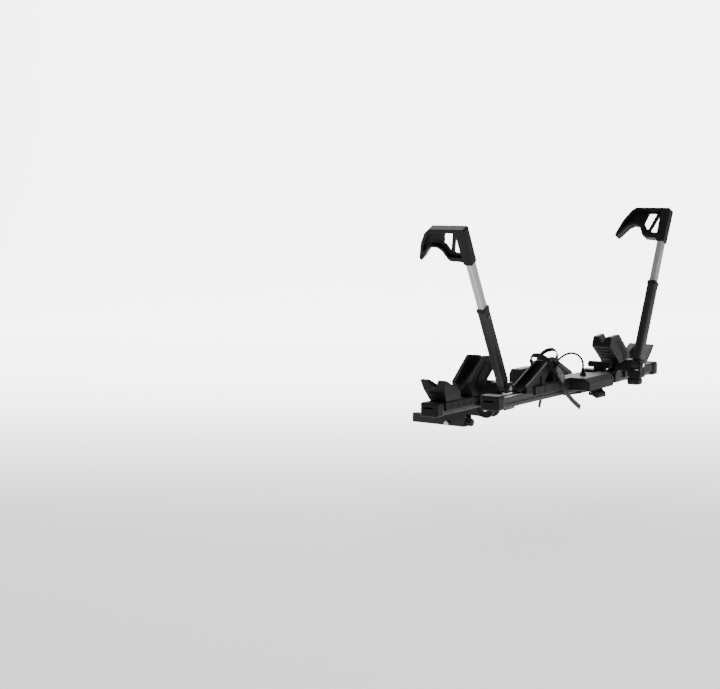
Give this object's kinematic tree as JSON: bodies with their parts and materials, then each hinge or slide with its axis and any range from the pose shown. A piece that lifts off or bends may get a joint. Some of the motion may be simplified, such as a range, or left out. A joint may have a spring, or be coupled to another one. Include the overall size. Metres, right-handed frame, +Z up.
{
  "type": "hitch mounted bike rack",
  "caption": "Platform hitch rack for bicycles: hitch bar, tilting spine, wheel trays with chocks, telescoping hook arms, ratchet strap holders and a cable lock.",
  "frame": {"origin": "centre of the hitch bar's front end face", "axes": "+Y points along the hitch bar into the car's receiver, +X to the car's right, +Z up"},
  "size_m": [1.75, 1.173, 1.1594],
  "materials": {
    "black_paint": "satin black powder coat",
    "black_plastic": "fine-grained moulded plastic",
    "black_anodised": "satin black anodised",
    "silver_anodised": "satin silver anodised",
    "rubber": "matte",
    "grey_plastic": "smooth satin",
    "zinc": "bright zinc plate",
    "strap_black": "ribbed strap, low sheen",
    "cable_sleeve": "smooth vinyl sleeve"
  },
  "bodies": {
    "hitch": {"hitch_bar": "black_paint", "hitch_end_plug": "black_plastic", "hitch_pin": "zinc", "hitch_pin_lock": "black_plastic", "neck": "black_paint", "tilt_pivot_bolt": "zinc"},
    "knob": {"anti_wobble_knob": "black_plastic", "anti_wobble_screw": "zinc"},
    "rack": {"pivot_housing": "black_paint", "spine": "black_paint", "rear_cover": "black_plastic", "tilt_handle_pin": "zinc", "inner_centre_block": "black_plastic", "cable_gland": "black_plastic", "security_cable": "cable_sleeve", "lock_head": "zinc", "inner_tray_clamp": "black_paint", "inner_beam": "black_anodised", "inner_front_cap": "black_plastic", "inner_rear_cap": "black_plastic", "inner_cradle_base": "black_plastic", "inner_inner_chock": "black_plastic", "inner_outer_chock": "black_plastic", "inner_arm_base": "black_plastic", "inner_arm_ratchet_cover": "black_plastic", "inner_arm_pivot_bolt": "zinc", "outer_tray_clamp": "black_paint", "outer_beam": "black_anodised", "outer_front_cap": "black_plastic", "outer_rear_cap": "black_plastic", "outer_cradle_base": "black_plastic", "outer_inner_chock": "black_plastic", "outer_outer_chock": "black_plastic", "outer_arm_base": "black_plastic", "outer_arm_ratchet_cover": "black_plastic", "outer_arm_pivot_bolt": "zinc"},
    "tilt_handle": {"tilt_handle": "black_plastic"},
    "inner_arm": {"inner_arm_knuckle": "black_paint", "inner_arm_outer_tube": "black_anodised", "inner_arm_collar": "black_plastic"},
    "inner_hook": {"inner_arm_inner_tube": "silver_anodised", "inner_hook": "black_plastic", "inner_hook_pad": "rubber"},
    "inner_release_button": {"inner_arm_release_button": "grey_plastic"},
    "inner_rear_holder": {"inner_rear_holder": "black_plastic", "inner_strap": "strap_black", "inner_buckle": "black_plastic"},
    "inner_buckle_lever": {"inner_buckle_lever": "grey_plastic"},
    "outer_arm": {"outer_arm_knuckle": "black_paint", "outer_arm_outer_tube": "black_anodised", "outer_arm_collar": "black_plastic"},
    "outer_hook": {"outer_arm_inner_tube": "silver_anodised", "outer_hook": "black_plastic", "outer_hook_pad": "rubber"},
    "outer_release_button": {"outer_arm_release_button": "grey_plastic"},
    "outer_rear_holder": {"outer_rear_holder": "black_plastic", "outer_strap": "strap_black", "outer_buckle": "black_plastic"},
    "outer_buckle_lever": {"outer_buckle_lever": "grey_plastic"}
  },
  "joints": [
    {"name": "rack_tilt", "type": "hinge", "parent": "hitch", "child": "rack", "pos_m": [0, -0.465, 0.086], "axis": [-1, 0, 0], "range_deg": [-35, 85]},
    {"name": "knob_turn", "type": "hinge", "parent": "hitch", "child": "knob", "pos_m": [0, -0.3254, 0], "axis": [0, -1, 0], "continuous": true},
    {"name": "tilt_handle_pull", "type": "hinge", "parent": "rack", "child": "tilt_handle", "pos_m": [0, -1.084, 0.224], "axis": [-1, 0, 0], "range_deg": [0, 25], "stiffness_Nm_per_rad": 2, "springref_deg": -11.46},
    {"name": "inner_arm_turn", "type": "hinge", "parent": "rack", "child": "inner_arm", "pos_m": [-0.393, -0.782, 0.2625], "axis": [0, -1, 0], "range_deg": [-105.3, 12]},
    {"name": "inner_hook_slide", "type": "slide", "parent": "inner_arm", "child": "inner_hook", "axis": [-0.4587, 0, 0.8886], "range_m": [-0.2, 0.05]},
    {"name": "inner_button_press", "type": "slide", "parent": "inner_arm", "child": "inner_release_button", "axis": [0, 1, 0], "range_m": [0, 0.0025], "stiffness_N_per_m": 400, "springref_m": -0.002},
    {"name": "inner_holder_slide", "type": "slide", "parent": "rack", "child": "inner_rear_holder", "axis": [-1, 0, 0], "range_m": [-0.19, 0.06]},
    {"name": "inner_buckle_open", "type": "hinge", "parent": "inner_rear_holder", "child": "inner_buckle_lever", "pos_m": [0.32266, -0.6845, 0.30093], "axis": [-0.6428, 0, 0.766], "range_deg": [0, 100]},
    {"name": "outer_arm_turn", "type": "hinge", "parent": "rack", "child": "outer_arm", "pos_m": [0.366, -1.132, 0.3273], "axis": [0, 1, 0], "range_deg": [-101.5, 12]},
    {"name": "outer_hook_slide", "type": "slide", "parent": "outer_arm", "child": "outer_hook", "axis": [0.3987, 0, 0.9171], "range_m": [-0.2, 0.05]},
    {"name": "outer_button_press", "type": "slide", "parent": "outer_arm", "child": "outer_release_button", "axis": [0, 1, 0], "range_m": [0, 0.0025], "stiffness_N_per_m": 400, "springref_m": -0.002},
    {"name": "outer_holder_slide", "type": "slide", "parent": "rack", "child": "outer_rear_holder", "axis": [1, 0, 0], "range_m": [-0.19, 0]},
    {"name": "outer_buckle_open", "type": "hinge", "parent": "outer_rear_holder", "child": "outer_buckle_lever", "pos_m": [-0.32266, -1.0345, 0.36573], "axis": [-0.6428, 0, -0.766], "range_deg": [0, 100]}
  ]
}
